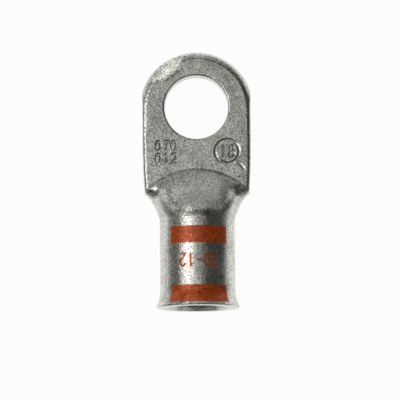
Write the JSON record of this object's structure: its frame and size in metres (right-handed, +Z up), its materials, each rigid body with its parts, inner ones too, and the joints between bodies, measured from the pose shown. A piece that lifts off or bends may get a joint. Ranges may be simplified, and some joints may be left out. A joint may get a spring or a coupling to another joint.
{
  "type": "copper cable lug",
  "caption": "Tin-plated copper tube lug: flat palm with a round stud hole, a neck that turns from flat to round, and a belled barrel that takes a cable.",
  "frame": {"origin": "on the surface that the lug lies on, below the middle of its bounding box", "axes": "+Z up, +Y towards the tip of the palm, so the cable's mouth faces -Y; the lug lies at rest, with the palm dipping towards the tip by 9.67 degrees"},
  "size_m": [0.023, 0.0554, 0.0196],
  "materials": {
    "tinned_copper": "matt tumbled tin plating",
    "orange_ink": "thin printed ink, slightly worn"
  },
  "bodies": {
    "root": {"lug": "tinned_copper", "upper_colour_band": "orange_ink", "lower_colour_band": "orange_ink"}
  },
  "joints": []
}
